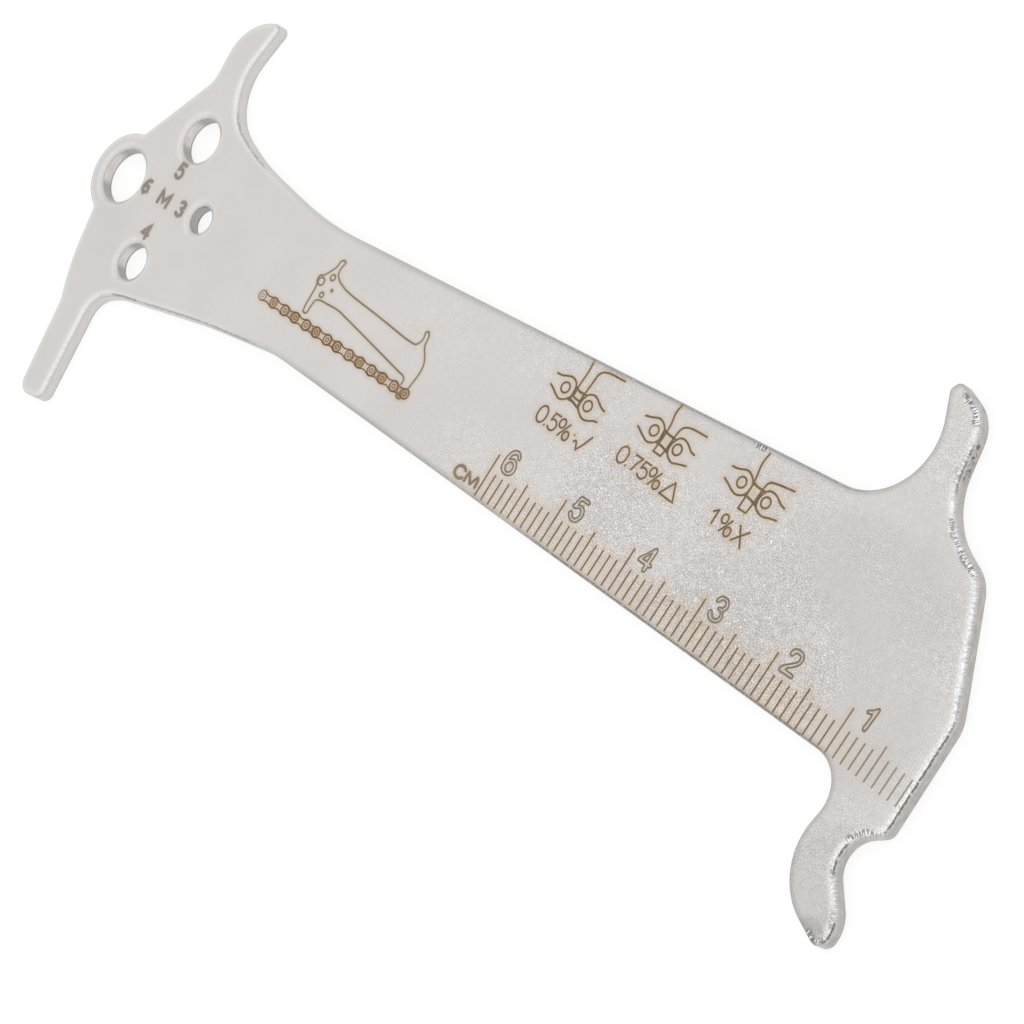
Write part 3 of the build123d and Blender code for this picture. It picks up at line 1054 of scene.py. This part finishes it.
    # Sheared wall: streaks along it, faint pink and green, lighter at the far end, and a painted contact
    # shadow at its foot
    streak = n.noise(n.pair(n.times(along, 0.6), n.times(rim, 3.0)), 1.0, 3.0, 0.6, "2D")
    wash = n.noise(place, 200.0, 1.0)
    wall = n.mix(n.range(wash, 0.4, 0.6), (0.555, 0.505, 0.475), (0.525, 0.52, 0.485))
    wall = n.mix(n.range(streak, 0.35, 0.65, 0.0, 0.4), wall, (0.37, 0.355, 0.335))
    wall = n.mix(n.fall(across, -0.055, -0.02, 0.36), wall, (0.92, 0.91, 0.90))
    blotch = n.times(n.range(mottle, 0.42, 0.6, 0.0, 0.3), lively)
    wall = n.mix(blotch, wall, (0.30, 0.29, 0.275))
    # Painted shade on the walls of holes: light where they face along x, darker where they face along y
    # and in small holes
    shaded_bore_wall = n.mix(n.range(bore_shade, 0.3, 1.0), (0.76, 0.72, 0.69), (0.42, 0.405, 0.38))
    shaded_bore_wall = n.mix(n.range(streak, 0.35, 0.65, 0.0, 0.35), shaded_bore_wall, (0.40, 0.37, 0.345))
    wall = n.mix(n.range(bore_shade, 0.05, 0.25), wall, shaded_bore_wall)
    scarred = n.noise(rim_place, 2.2, 3.0, 0.65, "2D")
    scarred = n.times(n.range(scarred, 0.48, 0.6), scar, n.range(rim, -1.0, -0.5, 0.3, 1.0))
    wall = n.mix(scarred, wall, TORN)
    # Painted contact shadow at the foot of the wall
    wall = n.mix(n.fall(rim, -1.2, -0.98, 0.8), wall, (0.22, 0.215, 0.205))
    colour = n.mix(n.fall(rim, -0.03, 0.01), colour, wall)

    roughness = n.range(grain, 0.3, 0.7, 0.36, 0.48)
    roughness = n.times(roughness, n.range(band, 0.0, 1.0, 1.0, 0.6))
    roughness = n.plus(roughness, n.times(tint, 0.12))
    height = n.minus(n.times(grain, lively, 0.03), n.times(torn, 0.05))
    bump = n.add("Bump", {"Height": height, "Distance": MM, "Strength": 1.0})
    n.feed(n.shader, {
        "Base Color": colour, "Metallic": 1.0, "Roughness": roughness, "Normal": bump.outputs["Normal"],
    })
    return material


def burnt_line(name, core, edge, warm, ragged=0.9):
    """Laser marked steel: an oxide line, dark in its middle, warmer and lighter at its sides."""
    material = bpy.data.materials.new(name)
    n = Nodes(material)
    place = n.add("TexCoord").outputs["Object"]
    side = n.read("side")
    faint = n.read("faint")
    patch = n.noise(place, 900.0)
    grain = n.noise(place, 7000.0, 1.0)
    middle = n.mix(n.range(patch, 0.42, 0.62), core, warm)
    spread = n.plus(side, n.swing(grain, ragged))
    colour = n.mix(n.range(spread, 0.3, 1.15), middle, edge)
    colour = n.mix(n.times(faint, 0.8), colour, (0.40, 0.39, 0.36))
    roughness = n.range(grain, 0.3, 0.7, 0.5, 0.7)
    n.feed(n.shader, {"Base Color": colour, "Metallic": 0.35, "Roughness": roughness})
    return material


# Studio

WHITE = (1.0, 1.0, 1.0, 1.0)
FLOOR_GREY = (0.25, 0.25, 0.25, 1.0)
CAMERA_PLACE = (240.863, 21.908, 276.697)
CAMERA_TURN = (20.8538, 35.1695, 40.4258)
FLOOR_HALF = 1500.0
FLOOR_DROP = 0.02


def set_world():
    """Plain white surround."""
    world = bpy.data.worlds.new("studio")
    bpy.context.scene.world = world
    n = Nodes(world, "Background")
    n.feed(n.shader, {"Color": WHITE, "Strength": n.range(n.seen(), 0.0, 1.0, 0.85, 1.0, False)})


def add_lamp(name, place, size, radiance):
    """Soft square lamp aimed at the plate. Place and size in millimetres."""
    lamp = bpy.data.lights.new(name, "AREA")
    lamp.shape = "RECTANGLE"
    lamp.size = lamp.size_y = size * MM
    lamp.energy = radiance * pi * lamp.size * lamp.size_y
    holder = place_object(name, lamp)
    holder.location = Vector(place) * MM
    holder.rotation_euler = Vector(place).to_track_quat("Z", "Y").to_euler()


def set_camera():
    """Camera at the photograph's viewing angle, with its framing."""
    camera = bpy.data.cameras.new("camera")
    camera.lens = 133.28
    camera.sensor_width = 36.0
    camera.clip_start = 0.01
    camera.clip_end = 10.0
    holder = place_object("camera", camera)
    holder.location = Vector(CAMERA_PLACE) * MM
    holder.rotation_euler = [radians(turn) for turn in CAMERA_TURN]
    bpy.context.scene.camera = holder


def add_floor():
    """White floor that stays white to the camera and in the steel, and keeps the plate's shadow."""
    corners = [(-1, -1), (1, -1), (1, 1), (-1, 1)]
    verts = [(x * FLOOR_HALF, y * FLOOR_HALF, -FLOOR_DROP) for x, y in corners]
    mesh = make_mesh("floor", verts, [(0, 1, 2, 3)])
    floor = place_object("floor", mesh)
    material = bpy.data.materials.new("floor_white")
    n = Nodes(material)
    n.feed(n.shader, {"Base Color": FLOOR_GREY, "Roughness": 1.0, "Specular IOR Level": 0.0})
    glow = n.add("Emission", {"Strength": n.times(n.seen(), 0.8)})
    both = n.add("AddShader", {0: n.shader.outputs[0], 1: glow.outputs[0]})
    n.feed(n.tree.nodes["Material Output"], {"Surface": both.outputs[0]})
    mesh.materials.append(material)


# Scene

outline = Outline(cad_plate.data)
ticks, digits, unit = ruler_marks()
icons = wear_marks()
gauge, chain, labels = gauge_marks(), chain_marks(), bolt_marks()
plate = plate_piece(outline, Tint([ticks, digits, unit, *icons, gauge, chain, labels]))
plate.data.materials.append(blasted_steel())
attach(plate, "root")
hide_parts("gauge_plate")

brown = burnt_line("burnt_brown", (0.15, 0.11, 0.07), (0.37, 0.29, 0.20), (0.22, 0.14, 0.067))
soft_brown = burnt_line("burnt_soft_brown", (0.24, 0.20, 0.145), (0.43, 0.365, 0.28), (0.30, 0.23, 0.15))
rust = burnt_line("burnt_orange", (0.13, 0.085, 0.045), (0.37, 0.26, 0.155), (0.19, 0.11, 0.052))
dusk = burnt_line("burnt_dusk", (0.205, 0.175, 0.14), (0.38, 0.345, 0.30), (0.25, 0.205, 0.155))
grey = burnt_line("burnt_grey", (0.285, 0.25, 0.22), (0.62, 0.59, 0.565), (0.305, 0.27, 0.235), 0.2)
for mark in (ticks, *icons):
    mark.piece(outline, brown)
digits.piece(outline, dusk)
unit.piece(outline, soft_brown)
gauge.piece(outline, soft_brown)
chain.piece(outline, rust)
labels.piece(outline, grey)

set_world()
set_camera()
add_floor()
add_lamp("overhead", (-420, 60, 560), 460, 0.1)
add_lamp("above", (-20, -20, 640), 620, 0.15)

bpy.context.scene.view_settings.view_transform = "Standard"
